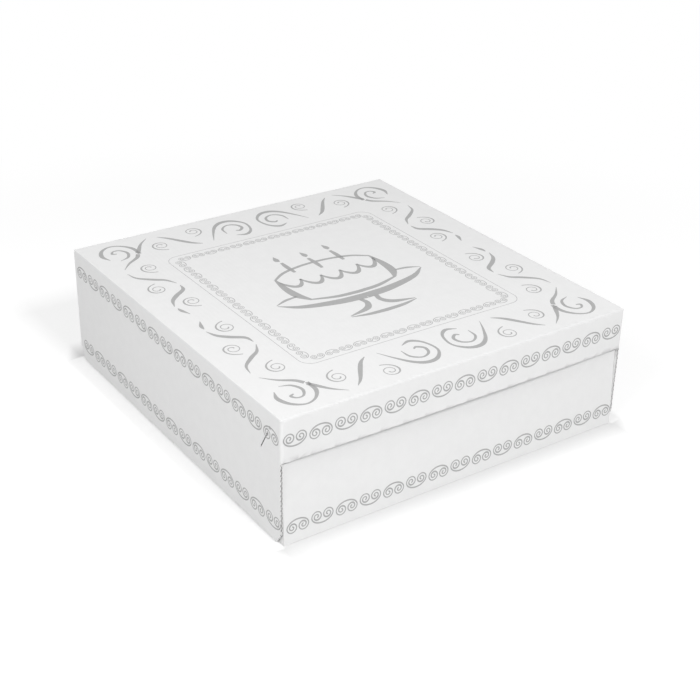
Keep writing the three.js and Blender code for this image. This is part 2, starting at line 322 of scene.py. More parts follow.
# Folds sink across the flutes by a raised cosine of the distance across, more here
# and less there by a slow sine
def foldSink(x, y, z, face):
    turn = 2 * math.pi / boardSet["flutePitch"]
    beat, start = settleSet["foldBeat"]
    share = settleSet["beatShare"]
    ripple = (0.5 - 0.5 * np.cos(turn * x)) * (1 - share + share * np.sin(beat * x + start))
    nearness = np.exp(-((y - face) ** 2 + (z - boxTop) ** 2) / settleSet["foldReach"] ** 2)
    return settleSet["foldWave"] * ripple * nearness * settleSet["foldSlant"]


# Round dimple beside the front corners
def dimpleSink(y, z):
    back, down = settleSet["dimplePlace"]
    spot = (y - frontFace - back) ** 2 + (z - boxTop + down) ** 2
    return settleSet["dimple"] * np.exp(-spot / settleSet["dimpleReach"] ** 2)


# Board and ink move by one field, so that the print stays on its board. Points sink
# inwards: at the folds, in the dimples, and over each panel by slow sines that fade
# out at its edges.
def settle(points):
    x, y, z = points[..., 0], points[..., 1], points[..., 2]
    moved = points.copy()
    for face, way in ((frontFace, 1), (rearFace, -1)):
        sink = foldSink(x, y, z, face)
        moved[..., 1] += way * sink
        moved[..., 2] -= sink
    u = x / (2 * halfWidth)
    v = (y - centreY) / (rearFace - frontFace)
    w = z / boxTop
    across, acrossStart, along, alongStart = settleSet["topWaves"]
    topWave = 0.5 + 0.5 * np.sin(across * u + acrossStart) * np.cos(along * v + alongStart)
    along, up, apart = settleSet["sideWaves"]
    sideWave = 0.5 + 0.5 * np.sin(along * v + up * w + apart * np.sign(x))
    across, up, start = settleSet["frontWaves"]
    frontWave = 0.5 + 0.5 * np.sin(across * u + up * w + start)
    wave = settleSet["panelWave"]
    fadeTop = np.clip((1 - w) * settleSet["edgeFade"], 0, 1)
    sinkTop = wave * underFace(boxTop - z) * edgeShare(u) * edgeShare(v) * topWave
    sinkSide = dimpleSink(y, z) + wave * edgeShare(v) * fadeTop * sideWave
    sinkFront = settleSet["frontShare"] * wave * underFace(y - frontFace) * edgeShare(u) * fadeTop * frontWave
    moved[..., 0] -= np.sign(x) * underFace(halfWidth - np.abs(x)) * sinkSide
    moved[..., 1] += sinkFront
    moved[..., 2] -= sinkTop
    return moved


# Board pieces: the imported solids, merged, cut finer by planes, settled, and shaded
# smooth over their folds

# Outside folds: the axis across, the side that it is on, the middle of its rounding
# along that axis, the same two for the height, and the radius that it is pressed to
def foldList(node):
    fold = boardSet["foldRadius"]
    top = (1, boxTop - fold, boardSet["crispRadius"])
    if node == "lid":
        return [(1, -1, frontFace + fold, *top), (0, -1, fold - halfWidth, *top),
                (0, 1, halfWidth - fold, *top), (1, 1, rearFace - fold, *top)]
    foot = (-1, fold, boardSet["footRadius"])
    return [(1, 1, rearFace - fold, *top), (1, 1, rearFace - fold, *foot),
            (1, -1, trayLow.y + fold, *foot), (0, -1, trayLow.x + fold, *foot),
            (0, 1, trayHigh.x - fold, *foot)]


# Some of a mesh's parts cut by a plane
def planeCut(work, parts, place, normal):
    weld = boardSet["weld"]
    cut = bmesh.ops.bisect_plane(work, geom=parts, dist=weld, plane_co=place, plane_no=normal)
    return cut["geom"]


# Faces with their edges and corners, each once
def facesWhole(faces):
    edges = dict.fromkeys(edge for face in faces for edge in face.edges)
    corners = dict.fromkeys(corner for face in faces for corner in face.verts)
    return list(faces) + list(edges) + list(corners)


# Radial cuts where the pressed fold is to turn
def cutFolds(work, node):
    fold = boardSet["foldRadius"]
    for axis, side, middle, rise, height, small in foldList(node):
        turnStart = math.degrees(math.atan((fold - small) / fold))
        touch = -boardSet["touch"]
        inside = [face for face in work.faces if all(
            side * (v.co[axis] - middle) > touch and rise * (v.co.z - height) > touch for v in face.verts)]
        parts = facesWhole(inside)
        centre = Vector((middle * (axis == 0), middle * (axis == 1), height))
        for angle in np.linspace(turnStart, 90 - turnStart, boardSet["foldTurns"]):
            cosine = math.cos(math.radians(angle))
            sine = math.sin(math.radians(angle))
            normal = Vector((-sine * side * (axis == 0), -sine * side * (axis == 1), cosine * rise))
            parts = planeCut(work, parts, centre, normal)


# Folds are pressed crisp: seen from the middle of its rounding, a point moves out by
# the ratio of a small-cornered square to the circle in its direction
def pressFolds(points, node):
    fold = boardSet["foldRadius"]
    tiny = boardSet["tiny"]
    for axis, side, middle, rise, height, small in foldList(node):
        flat = fold - small
        across = side * (points[:, axis] - middle)
        up = rise * (points[:, 2] - height)
        inside = (across > 0) & (up > 0)
        reach = np.maximum(np.hypot(across, up), tiny)
        low = np.minimum(across, up) / reach
        high = np.maximum(across, up) / reach
        onFlat = low / np.maximum(high, tiny) * fold <= flat
        square = np.maximum(0, small ** 2 - flat ** 2 * (high - low) ** 2)
        rounded = flat * (low + high) + np.sqrt(square)
        ratio = np.where(onFlat, 1 / np.maximum(high, tiny), rounded / fold)
        limit = fold / np.maximum(np.maximum(across, up), tiny)
        ratio = np.where(inside, np.minimum(ratio, limit), 1)
        points[:, axis] = middle + side * across * ratio
        points[:, 2] = height + rise * up * ratio
    return points


# Faces cut by level planes: by the middle plane first, then each side by its own half
def sliceBoard(work, faces, axis, places):
    if not len(places) or not faces:
        return
    middle = len(places) // 2
    normal = Vector((axis == 0, axis == 1, axis == 2))
    below = []
    above = []
    for part in planeCut(work, facesWhole(faces), normal * places[middle], normal):
        if isinstance(part, bmesh.types.BMFace):
            side = below if part.calc_center_median()[axis] < places[middle] else above
            side.append(part)
    sliceBoard(work, below, axis, places[:middle])
    sliceBoard(work, above, axis, places[middle + 1:])


def fineBoard(mesh, node):
    work = bmesh.new()
    work.from_mesh(mesh)
    bmesh.ops.remove_doubles(work, verts=work.verts, dist=boardSet["weld"])
    step = boardSet["sliceStep"]
    reach = boardSet["foldRadius"] + boardSet["foldMargin"]
    folds = []
    for face in work.faces:
        high = all(v.co.z > boxTop - reach for v in face.verts)
        front = node == "lid" and all(v.co.y < frontFace + reach for v in face.verts)
        rear = all(v.co.y > rearFace - reach for v in face.verts)
        if high and (front or rear):
            folds.append(face)
    flute = boardSet["flutePitch"] / boardSet["foldSlices"]
    count = int(halfWidth / flute)
    sliceBoard(work, folds, 0, np.arange(-count, count + 1) * flute)
    for axis, low, high in ((0, -halfWidth, halfWidth), (1, frontFace, rearFace), (2, 0, boxTop)):
        places = np.arange(low + step / 2, high, step)
        sliceBoard(work, work.faces[:], axis, places)
    cutFolds(work, node)
    work.to_mesh(mesh)
    work.free()


# Depths that lie inside a panel's thickness
def within(depth):
    skin = boardSet["skin"]
    return (depth > skin) & (depth < boardSet["thickness"] - skin)


# A face is cut board where its middle lies inside a panel's thickness
def cutFaces(mesh, node):
    middle = np.zeros(len(mesh.polygons) * 3, np.float32)
    mesh.polygons.foreach_get("center", middle)
    middle = middle.reshape(-1, 3)
    fold = boardSet["foldRadius"]
    if node == "tray":
        return within(middle[:, 1] - trayLow.y) & (middle[:, 2] > 2 * fold)
    x = halfWidth - np.abs(middle[:, 0])
    y = middle[:, 1] - frontFace
    z = boxTop - middle[:, 2]
    flap = within(x) & (z > fold) & ((y > fold) | (z > boardSet["bandHeight"]))
    band = within(y) & (z > fold) & (x > fold)
    return flap | band


def readPoints(mesh):
    points = np.zeros(len(mesh.vertices) * 3, np.float32)
    mesh.vertices.foreach_get("co", points)
    return points.reshape(-1, 3).astype(float)


def writePoints(mesh, points):
    mesh.vertices.foreach_set("co", points.astype(np.float32).ravel())


# The front half's board moves back by the band's spring, forward where the bow is below 0
def unspring(points, bow):
    front = points[:, 1] < 0
    points[front, 1] += bandSpring(points[front, 0], points[front, 2], bow)
    return points


def boardPiece(node, name, body, materials, sprung):
    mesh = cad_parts[node].data.copy()
    mesh.name = name
    mesh.materials.clear()
    for material in materials:
        mesh.materials.append(material)
    if sprung:
        writePoints(mesh, unspring(readPoints(mesh), boardSet["bandBow"]))     # flat while it is cut finer
    fineBoard(mesh, node)
    mesh.polygons.foreach_set("material_index", cutFaces(mesh, node).astype(np.int32))
    points = readPoints(mesh)
    if sprung:
        points = unspring(points, -boardSet["bandRest"])
    points = pressFolds(points, node)
    if sprung:
        points = raiseBand(points)
    inset = boardSet["inset"]
    middle = np.array([0, centreY, 0])
    shrink = np.array([1 - inset / halfWidth, 1 - inset / rearFace, 1 - inset / boxTop])
    points = middle + (points - middle) * shrink
    if not sprung:
        outside = np.clip((np.abs(points[:, 0]) - boardSet["leanStart"]) / boardSet["leanSpan"], 0, 1)
        points[:, 0] += np.sign(points[:, 0]) * outside * boardSet["wallLean"]
        points = standFoot(points)
    writePoints(mesh, settle(points))
    mesh.polygons.foreach_set("use_smooth", np.ones(len(mesh.polygons), bool))
    mesh.set_sharp_from_angle(angle=math.radians(boardSet["smoothAngle"]))
    mesh.update()
    piece = bpy.data.objects.new(name, mesh)
    bpy.context.scene.collection.objects.link(piece)
    weighted = piece.modifiers.new("flatFaces", "WEIGHTED_NORMAL")
    weighted.keep_sharp = True
    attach(piece, body)
    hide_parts(node)
    print("board: %s, %d faces" % (name, len(mesh.polygons)))
    return piece


boardMaterials = (linerMaterial(), cutMaterial())
boardPiece("tray", "trayBoard", "tray", boardMaterials, False)
boardPiece("lid", "lidBoard", "lid", boardMaterials, True)


# Print, sizes in millimetres on the panels
inkSet = {
    "proud": 0.000045,         # metres above the board
    "sunk": 0.00004,
    "color": (0.40, 0.40, 0.40),
    "roughness": 0.5,
    "sheen": 0.3,
    "mottle": 0.05,
    "mottleScale": 700,
    "washShare": 0.5,          # of the washboard's height that shows in the ink
    "borderUnits": 15,
    "sideSpan": 265.6,
    "frontSpan": 255.4,
    "wallSpan": 253.6,
    "upperBorder": 70.7,       # heights of the borders' middles
    "lowerSideBorder": 13.6,
    "lowerFrontBorder": 11.2,
    "bandShift": -0.6,         # how far each row sits off its panel's middle
    "wallShift": 0.8,
    "flapShifts": (0.6, 2.5),  # upper and lower row of the side flaps, towards the front
    "unitShare": 0.87,         # of the pitch that a unit fills
    "unitHeight": 8.6,
    "thinLine": 0.58,
    "thickLine": 1.05,
    "leastLine": 0.2,          # no brush stroke is thinner
    "voluteSize": 0.248,       # its radius, of the unit's width
    "voluteRise": 0.087,       # its middle's height, of the unit's height
    "voluteTurns": 1.75,
    "voluteShrink": 0.9,
    "voluteBend": 1.15,
    "lineShare": 0.35,         # of the way from the thin to the thick line, where nothing swells
    "bowlSwell": 0.45,
    "voluteSwells": ((0.75, 0.43, 0.11), (1.3, 1, 0.09)),   # height, place and span of each
    "stations": 44,
}


def inkMaterial():
    material, tree, shader = newMaterial("grey_ink")
    coords = tree.nodes.new("ShaderNodeTexCoord")
    mottle = noiseNode(tree, coords.outputs["Object"], inkSet["mottleScale"], detail=4.0, roughness=0.6)
    mottledColor(tree, shader, mottle, inkSet["color"], inkSet["mottle"])
    shader.inputs["Roughness"].default_value = inkSet["roughness"]
    shader.inputs["Specular IOR Level"].default_value = inkSet["sheen"]
    waves = washboard(tree, coords.outputs["Object"], coords.outputs["Normal"])
    height = mathNode(tree, "MULTIPLY", waves, inkSet["washShare"])
    surfaceBump(tree, shader, height, finishSet["washboard"])
    return material


# Panels: flat millimetres (u to the right, v up, seen from outside) and a lift in
# metres off the board become points of the model

def onLid(u, v, lift):
    return np.stack([u / 1000, centreY + v / 1000, boxTop - boardSet["inset"] + lift + 0 * u], -1)


def onLeftFlap(u, v, lift):
    return np.stack([-halfWidth + boardSet["inset"] - lift + 0 * u, centreY - u / 1000, v / 1000], -1)


def onRightFlap(u, v, lift):
    return np.stack([halfWidth - boardSet["inset"] + lift + 0 * u, centreY + u / 1000, v / 1000], -1)


def onBand(u, v, lift):
    x = u / 1000
    z = v / 1000
    return np.stack([x, frontFace + boardSet["inset"] - bandSpring(x, z, boardSet["bandRest"]) - lift, z], -1)


def onFrontWall(u, v, lift):
    return standFoot(np.stack([u / 1000, trayLow.y + boardSet["inset"] - lift + 0 * u, v / 1000], -1))


def onRearWall(u, v, lift):
    return np.stack([-u / 1000, rearFace - boardSet["inset"] + lift + 0 * u, v / 1000], -1)


# Ribbons of ink: a flat line carries a thin slab whose edges lie half a width to
# either side along the line's normal. All ribbons of one call are worked out at once.
def inkSlabs(lines, widths, panel):
    count, stations = widths.shape
    step = np.gradient(lines, axis=1)
    side = np.stack([-step[..., 1], step[..., 0]], -1)
    side = side / np.linalg.norm(side, axis=-1, keepdims=True)
    half = side * widths[..., None] / 2
    left = lines + half
    right = lines - half
    ring = np.stack([left, right, right, left], 2)
    lift = np.array([1, 1, 0, 0]) * (inkSet["proud"] + inkSet["sunk"]) - inkSet["sunk"]
    points = panel(ring[..., 0], ring[..., 1], lift)
    first = np.arange(count)[:, None, None] * stations * 4 + np.arange(stations - 1)[None, :, None] * 4
    near = np.arange(4)
    far = (near + 1) % 4
    sides = np.stack([first + near, first + 4 + near, first + 4 + far, first + far], -1).reshape(-1, 4)
    start = np.arange(count)[:, None] * stations * 4
    end = start + (stations - 1) * 4
    caps = np.concatenate([start + near, end + near[::-1]])
    return points.reshape(-1, 3), np.concatenate([sides, caps])


def inkPiece(name, body, parts, material):
    points = []
    faces = []
    offset = 0
    for lines, widths, panel in parts:
        slab, quads = inkSlabs(lines, widths, panel)
        points.append(slab)
        faces.append(quads + offset)
        offset += len(slab)
    mesh = bpy.data.meshes.new(name)
    mesh.from_pydata(settle(np.concatenate(points)), [], np.concatenate(faces))
    mesh.materials.append(material)
    mesh.update()
    piece = bpy.data.objects.new(name, mesh)
    bpy.context.scene.collection.objects.link(piece)
    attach(piece, body)
    print("ink: %s, %d faces" % (name, len(mesh.polygons)))
    return piece


# Line width: a base with swells, each height * exp(-((s - place) / span)^2) for the
# share s of the way
def swollen(share, base, swells):
    width = base
    for height, place, span in swells:
        width = width + height * np.exp(-((share - place) / span) ** 2)
    return width


# Scroll: a bowl whose ends climb and wind in to a volute each. Half of it is a
# quarter ellipse from the bowl's middle to the outer side, then a spiral of radius
# outer * (1 - shrink * s^bend) for the share s of the way.
def scrollUnit(width, height):
    count = inkSet["stations"]
    bowlCount = count // 4
    outer = width * inkSet["voluteSize"]
    centre = np.array([-width / 2 + outer, height * inkSet["voluteRise"]])
    quarter = np.linspace(0, math.pi / 2, bowlCount, endpoint=False)
    bowl = np.stack([
        -width / 2 * np.sin(quarter),
        centre[1] - (centre[1] + height / 2) * np.cos(quarter),
    ], -1)
    share = np.linspace(0, 1, count - bowlCount)
    angle = math.pi - share * inkSet["voluteTurns"] * 2 * math.pi
    radius = outer * (1 - inkSet["voluteShrink"] * share ** inkSet["voluteBend"])
    spiral = centre + radius[:, None] * np.stack([np.cos(angle), np.sin(angle)], -1)
    half = np.concatenate([bowl, spiral])
    base = inkSet["lineShare"]
    bowlThick = base + inkSet["bowlSwell"] * np.cos(quarter)
    thick = np.concatenate([bowlThick, swollen(share, base, inkSet["voluteSwells"])])
    widths = inkSet["thinLine"] + (inkSet["thickLine"] - inkSet["thinLine"]) * thick
    return np.stack([half, half * np.array([-1, 1])]), np.stack([widths, widths])


# Border: units side by side over a span, every other one upside down
def borderLines(span, count, height, firstUp, scale=1.0, line=1.0):
    share = inkSet["unitShare"]
    pitch = span / (count - 1 + share)
    lines, widths = scrollUnit(pitch * share, inkSet["unitHeight"] * scale)
    flip = np.where((np.arange(count) % 2 == 0) == firstUp, 1.0, -1.0)
    middle = (np.arange(count) - (count - 1) / 2) * pitch
    turned = lines[None] * flip[:, None, None, None]
    turned = turned + np.stack([middle, np.full(count, height)], -1)[:, None, None, :]
    stations = widths.shape[1]
    return turned.reshape(-1, stations, 2), np.tile(widths, (count, 1)) * line


units = inkSet["borderUnits"]
ink = inkMaterial()


def shifted(border, shift):
    lines, widths = border
    return lines + np.array([shift, 0]), widths


def twoBorders(span, panel, upperFirstUp, lowerHeight, shifts=(0, 0)):
    upper = borderLines(span, units, inkSet["upperBorder"], upperFirstUp)
    lower = borderLines(span, units, lowerHeight, not upperFirstUp)
    return [(*shifted(upper, shifts[0]), panel), (*shifted(lower, shifts[1]), panel)]


sideSpan = inkSet["sideSpan"]
frontSpan = inkSet["frontSpan"]
sideLower = inkSet["lowerSideBorder"]
leftShifts = inkSet["flapShifts"]
rightShifts = [-shift for shift in leftShifts]
leftBorders = twoBorders(sideSpan, onLeftFlap, False, sideLower, leftShifts)
rightBorders = twoBorders(sideSpan, onRightFlap, True, sideLower, rightShifts)
inkPiece("flapPrintLeft", "lid", leftBorders, ink)
inkPiece("flapPrintRight", "lid", rightBorders, ink)
bandBorder = shifted(borderLines(frontSpan, units, inkSet["upperBorder"], True), inkSet["bandShift"])
inkPiece("bandPrint", "lid", [(*bandBorder, onBand)], ink)
wallBorder = borderLines(inkSet["wallSpan"], units, inkSet["lowerFrontBorder"], False)
wallBorder = shifted(wallBorder, inkSet["wallShift"])
inkPiece("frontWallPrint", "tray", [(*wallBorder, onFrontWall)], ink)
rearBorders = twoBorders(frontSpan, onRearWall, False, inkSet["lowerFrontBorder"])
inkPiece("rearWallPrint", "tray", rearBorders, ink)


# Lid's scrollwork: one quarter of it, mirrored to the other three. Each stroke is a
# row of (across, along, line width) in millimetres from the lid's middle.
scrollSet = {
    "cornerArc": [(-94.3, 105.7, 2.6), (-94.7, 116, 2.8), (-100.3, 123.8, 1.7), (-108.1, 126.4, 1.5),
                  (-115.5, 121.9, 2.5), (-118.9, 113.5, 2.9), (-116.6, 105.7, 0.4)],
    "cornerCurl": [(-110.9, 101.4, 0.4), (-104, 104.3, 1.8), (-101, 111.2, 2.1), (-104, 117.4, 1.5),
                   (-108.6, 118, 1.3), (-110.9, 114.7, 1.9), (-108.1, 113.1, 0.9)],
    "cornerSwashRear": [(-78.9, 126.6, 0.3), (-86.4, 119.9, 1.7), (-91.9, 112.1, 3.0), (-95.1, 107.3, 3.3)],
    "cornerSwashSide": [(-95.8, 105.3, 3.0), (-99.3, 100.4, 2.7), (-107.7, 94.6, 1.7), (-115.1, 86.8, 0.3)],
    "rearSwash": [(-71.5, 124.8, 0.4), (-65.9, 119, 2.1), (-58.5, 108.2, 3.0), (-53.9, 102.4, 2.2),
                  (-48.8, 98.5, 0.5)],
    "hook": [(-39.9, 98.5, 0.3), (-34.3, 109.2, 1.5), (-27.8, 119, 2.6), (-20.4, 123.8, 3.3),
             (-12, 122.5, 2.8), (-5.5, 114.1, 1.6), (-7.4, 102.4, 1.8), (-13.9, 96.6, 2.6),
             (-21.3, 98.9, 0.4)],
    "hookCurl": [(-25.9, 104.3, 0.5), (-25, 112.6, 1.7), (-19.1, 117.2, 1.4), (-12.9, 114.7, 1.8),
                 (-11.1, 108.8, 2.1), (-14.8, 104.9, 2.0), (-17.6, 106.2, 0.9)],
    "sideSwashLong": [(-116.6, 79.8, 0.3), (-114.2, 71, 1.8), (-105.8, 63.2, 2.8), (-99.3, 58.3, 2.1),
                      (-95.1, 50.5, 0.4)],
    "sideSwashBroad": [(-94.7, 46.7, 0.4), (-96.2, 39.8, 2.7), (-104, 34, 3.3), (-109.9, 28.1, 2.5),
                       (-112.9, 20.3, 0.4)],
    "sideTaper": [(-112.3, 16.8, 0.8), (-111.8, 12.5, 2.5), (-109.2, 6, 0.2)],
    "smallCurls": [(-75.9, 110.2, 1, 1), (-45.2, 120.4, -1, 1), (-99.5, 81.1, 1, 1), (-110.3, 48.4, 1, -1),
                   (-99.5, 21.5, 1, 1)],    # across, along, and the two ways that each opens
    "stretch": (0.996, 1.0075),         # of all strokes and curls, across and along
    "shift": (-0.35, -0.6),
    "frameHalf": (83.6, 89.5),          # from the frame's middle to its sides
    "frameShift": (-0.9, -1.1),
    "frameRadius": 8.4,
    "frameLine": 0.32,
    "frameStep": 4.0,          # from station to station
    "arcStations": 9,
    "chainInset": 6.2,
    "chainGap": 4,             # a row is this much shorter than its side of the inner frame
    "chainUnits": 15,
    "chainScale": 0.68,
    "chainLine": 0.52,         # share of the borders' line widths
}
quarters = np.array([(1, 1), (-1, 1), (1, -1), (-1, -1)])

# Small curls of the scrollwork, sizes in millimetres
curlSet = {
    "radius": 6.1,
    "line": 1.1,
    "start": -75,              # degrees
    "turns": 1.75,
    "shrink": 0.75,
    "bend": 1.3,
    "flare": 0.45,             # how far out the tail starts
    "flareSpan": 0.06,
    "lineShare": 0.55,
    "swells": ((0.5, 0.16, 0.13), (0.3, 1, 0.12)),      # height, place and span of each
}

# The lid's picture: a cake with candles on a footed stand, right half of it
cakeSet = {
    "plate": [(0, -28.4, 5.6), (18, -27, 5.0), (40, -21.5, 3.2), (52, -13.5, 0.5)],
    "rim": [(52, -12.5, 0.4), (44, -9.2, 1.7), (35.5, -8, 1.2)],
    "stem": [(5.5, -31, 2.4), (4.8, -37, 2.8), (9.5, -43, 3.2), (23, -46.5, 0.6)],
    "foot": [(0, -50.4, 2.8), (12, -49.8, 2.2), (23, -47.6, 0.5)],
    "side": [(34.5, 17.5, 1.2), (35.4, 5, 3.6), (34.4, -7, 4.4), (30.5, -15.5, 1.8)],
    "bottom": [(0, -21.6, 2.8), (15, -20.4, 2.4), (31, -15.6, 1.2)],
    "topEdge": [(0, 28.4, 1.8), (12, 27.4, 1.8), (25, 24, 1.8), (34.8, 17.6, 1.2)],
    "candle": [(18, 21.5, 1.6), (18.3, 30, 2.6), (18, 37.5, 1.6)],
    "flame": [(18, 39.5, 0.4), (18.6, 42.3, 3.0), (18, 47.5, 0.3)],
    "middleCandle": [(0, 18.5, 1.6), (0.3, 27.5, 2.6), (0, 35, 1.6)],
    "middleFlame": [(0, 37, 0.4), (0.6, 39.8, 3.0), (0, 45, 0.3)],
    "scallops": 5,
    "scallopSpan": 34.4,
    "scallopDrop": 9.5,
    "scallopLine": 2.6,
    "scallopThin": 0.45,       # share of that line width at a scallop's ends
    "scallopBlunt": 0.7,       # power of the sine, which makes the scallop blunt
    "icingEdge": 14.5,         # where the icing hangs from at the cake's sides
    "icingDip": 4.5,           # and how much lower that is in the middle
    "size": 1.1,               # of the whole drawing
    "weight": 1.35,            # of its lines
}


# Brush stroke: a Catmull-Rom curve through its rows, in place and in width alike
def brushLines(strokes):
    lines = []
    for rows in strokes:
        knots = np.array(rows, float)
        padded = np.concatenate([[2 * knots[0] - knots[1]], knots, [2 * knots[-1] - knots[-2]]])
        place = np.linspace(0, len(knots) - 1, inkSet["stations"])
        index = np.minimum(place.astype(int), len(knots) - 2)
        t = (place - index)[:, None]
        before, start, end, after = (padded[index + i] for i in range(4))
        curve = 2 * start + (end - before) * t
        curve = curve + (2 * before - 5 * start + 4 * end - after) * t ** 2
        curve = curve + (3 * start - before - 3 * end + after) * t ** 3
        lines.append(0.5 * curve)
    lines = np.array(lines)
    return lines[..., :2], np.maximum(lines[..., 2], inkSet["leastLine"])


# Small curl: a tail that sweeps in to a spiral, of radius
# R (1 - shrink * s^bend + flare * exp(-s / flareSpan)) for the share s of the way
def curlLines(rows):
    centre = np.array([row[:2] for row in rows], float)
    way = np.array([row[2:] for row in rows], float)[:, None]
    share = np.linspace(0, 1, inkSet["stations"])
    angle = math.radians(curlSet["start"]) - curlSet["turns"] * 2 * math.pi * share
    flare = curlSet["flare"] * np.exp(-share / curlSet["flareSpan"])
    reach = curlSet["radius"] * (1 - curlSet["shrink"] * share ** curlSet["bend"] + flare)
    curl = reach[:, None] * np.stack([np.cos(angle), np.sin(angle)], -1)
    width = curlSet["line"] * swollen(share, curlSet["lineShare"], curlSet["swells"])
    return centre[:, None] + way * curl, np.tile(width, (len(rows), 1))


def mirrored(lines, widths, signs):
    spread = lines[None] * signs[:, None, None, :]
    return spread.reshape(-1, *lines.shape[1:]), np.tile(widths, (len(signs), 1))


# Frame line: straight sides joined by quarter circles, with a station at least every
# few millimetres
def roundedFrame(half, radius, width):
    corner = np.linspace(0, math.pi / 2, scrollSet["arcStations"])
    arc = np.array(half) - radius + radius * np.stack([np.cos(corner), np.sin(corner)], -1)
    arcs = [arc, arc[::-1] * (-1, 1), -arc, arc[::-1] * (1, -1)]
    loop = np.concatenate(arcs + [arc[:1]])
    travel = np.concatenate([[0], np.cumsum(np.linalg.norm(np.diff(loop, axis=0), axis=1))])
    even = np.union1d(travel, np.arange(0, travel[-1], scrollSet["frameStep"]))
    loop = np.stack([np.interp(even, travel, loop[:, i]) for i in range(2)], -1)
    return loop[None], np.full((1, len(loop)), width)


# Icing: arcs of a sine that hang from the cake's upper edge, side by side
def icingLines():
    count = cakeSet["scallops"]
    span = cakeSet["scallopSpan"]
    t = np.linspace(0, 1, inkSet["stations"])
    start = -span + np.arange(count)[:, None] * 2 * span / count
    across = start + t * 2 * span / count
    along = cakeSet["icingEdge"] - cakeSet["icingDip"] * (1 - (across / span) ** 2)
    along = along - cakeSet["scallopDrop"] * np.sin(math.pi * t) ** cakeSet["scallopBlunt"]
    thin = cakeSet["scallopThin"]
    width = cakeSet["scallopLine"] * (thin + (1 - thin) * np.sin(math.pi * t))
    return np.stack([across, along], -1), np.tile(width, (count, 1))


def scrollParts():
    curls = scrollSet["smallCurls"]
    strokes = [rows for rows in scrollSet.values() if isinstance(rows, list) and rows != curls]
    parts = []
    for quarter in (brushLines(strokes), curlLines(curls)):
        lines, widths = mirrored(*quarter, quarters)
        parts.append((lines * scrollSet["stretch"] + scrollSet["shift"], widths, onLid))
    return parts


def frameParts():
    half = scrollSet["frameHalf"]
    parts = [(*roundedFrame(half, scrollSet["frameRadius"], scrollSet["frameLine"]), onLid)]
    count = scrollSet["chainUnits"]
    scale = scrollSet["chainScale"]
    inner = [value - scrollSet["chainInset"] for value in half]
    gap = scrollSet["chainGap"]
    line = scrollSet["chainLine"]
    for side in (1, -1):
        across, thick = borderLines(2 * inner[0] - gap, count, 0, True, scale, line)
        parts.append((across + np.array([0, side * inner[1]]), thick, onLid))
        up, thick = borderLines(2 * inner[1] - gap, count, 0, True, scale, line)
        up = up[..., ::-1] * np.array([-1, 1]) + np.array([side * inner[0], 0])
        parts.append((up, thick, onLid))
    return [(lines + scrollSet["frameShift"], widths, panel) for lines, widths, panel in parts]


def cakeParts():
    middle = [cakeSet["middleCandle"], cakeSet["middleFlame"]]
    halves = [rows for rows in cakeSet.values() if isinstance(rows, list) and rows not in middle]
    sides = np.array([(1, 1), (-1, 1)])
    drawn = [mirrored(*brushLines(halves), sides), brushLines(middle), icingLines()]
    return [(lines * cakeSet["size"], widths * cakeSet["weight"], onLid) for lines, widths in drawn]


inkPiece("scrollPrint", "lid", scrollParts(), ink)
inkPiece("framePrint", "lid", frameParts(), ink)
inkPiece("cakePrint", "lid", cakeParts(), ink)


# Floor and light
stageSet = {
    "floorSize": 12.0,
    "floorColor": (0.60, 0.60, 0.60, 1),
    "glowStart": 0.30,         # metres from the middle where the floor turns pure white
    "glowEnd": 0.55,
    "floorLift": 0.48,         # added for the camera near the box, less in the painted contact shadow
    "paintedShadowShare": 0.21,      # of the lift at the foot, where the painted contact shadow is darkest
    "contactRise": 33,         # growth of that share to the metre
    "sideShares": (0.85, 0.75),     # least share on the left and right
    "sideReach": 0.004,        # how far before the front that least share still counts
    "underReach": 0.004,       # and how far under the box it fades
    "worldLevel": 0.507,
    "sideEnergy": 4.44,
    "sidePlace": (-0.852, -0.287, 0.70),
    "sideSize": 0.6,
    "frontEnergy": 12.4,
    "frontPlace": (0.013, -1.191, 1.164),
    "frontSize": 0.3,
    "lightAim": (0, 0, 0.05),
}


def seenDirectly(tree):
    path = tree.nodes.new("ShaderNodeLightPath")
    seen = mathNode(tree, "MAXIMUM", path.outputs["Is Camera Ray"], path.outputs["Is Glossy Ray"])
    return mathNode(tree, "MAXIMUM", seen, path.outputs["Is Transmission Ray"])


# Painted contact shadow: the lift's share grows with y + 2x, the distances outside the
# footprint, and beside the footprint it has a least value
def paintedShadowShare(tree, coords):
    place = axisParts(tree, coords)
    beside = mathNode(tree, "SUBTRACT", mathNode(tree, "ABSOLUTE", place["X"]), halfWidth)
    before = mathNode(tree, "ABSOLUTE", mathNode(tree, "SUBTRACT", place["Y"], centreY))
    before = mathNode(tree, "SUBTRACT", before, (rearFace - frontFace) / 2)
    outX = mathNode(tree, "MAXIMUM", beside, 0.0)
    outY = mathNode(tree, "MAXIMUM", before, 0.0)
    distance = mathNode(tree, "MULTIPLY_ADD", outX, 2.0, outY)
    grown = mathNode(tree, "MULTIPLY_ADD", distance, stageSet["contactRise"], stageSet["paintedShadowShare"])
    sideways = rampNode(tree, place["X"], (-halfWidth, halfWidth), stageSet["sideShares"])
    onSide = rampNode(tree, beside, (-stageSet["underReach"], 0))
    fade = rampNode(tree, outY, (0, stageSet["sideReach"]), (1, 0))
    least = mathNode(tree, "MULTIPLY", mathNode(tree, "MULTIPLY", sideways, onSide), fade)
    return mathNode(tree, "MINIMUM", mathNode(tree, "MAXIMUM", grown, least), 1.0)


